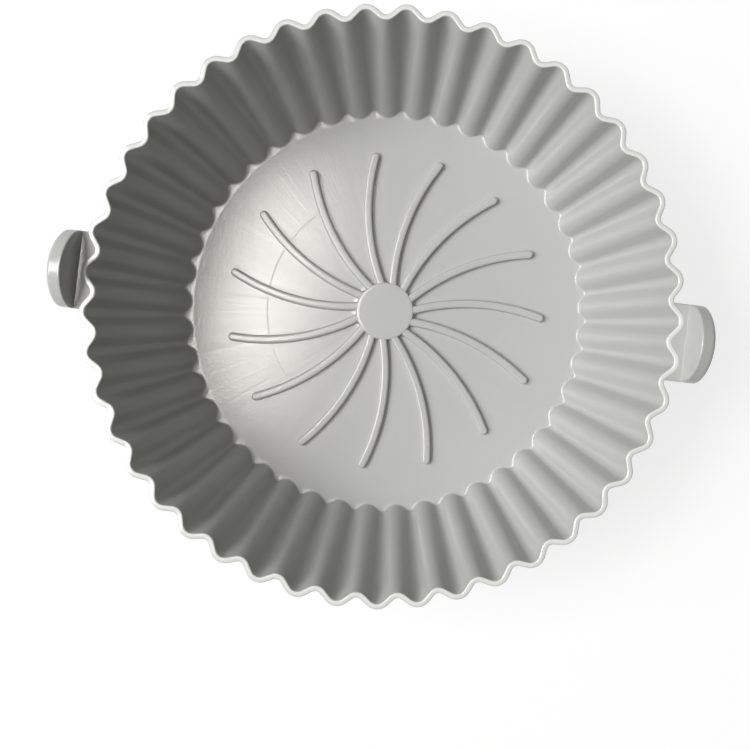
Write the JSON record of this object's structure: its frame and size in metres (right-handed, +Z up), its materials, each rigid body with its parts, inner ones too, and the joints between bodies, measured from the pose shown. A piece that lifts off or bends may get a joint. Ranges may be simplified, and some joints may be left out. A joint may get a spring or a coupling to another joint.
{
  "type": "air fryer liner",
  "caption": "Round fluted silicone liner with a flat floor, curved ribs round a central pad and two thumb ears at the rim.",
  "frame": {"origin": "centre of the underside, on the surface that the liner stands on", "axes": "+Z up through the open mouth, +X towards the ear that sits on a flute valley"},
  "size_m": [0.216, 0.2002, 0.0654],
  "materials": {
    "silicone": "satin"
  },
  "bodies": {
    "root": {"liner": "silicone"}
  },
  "joints": []
}
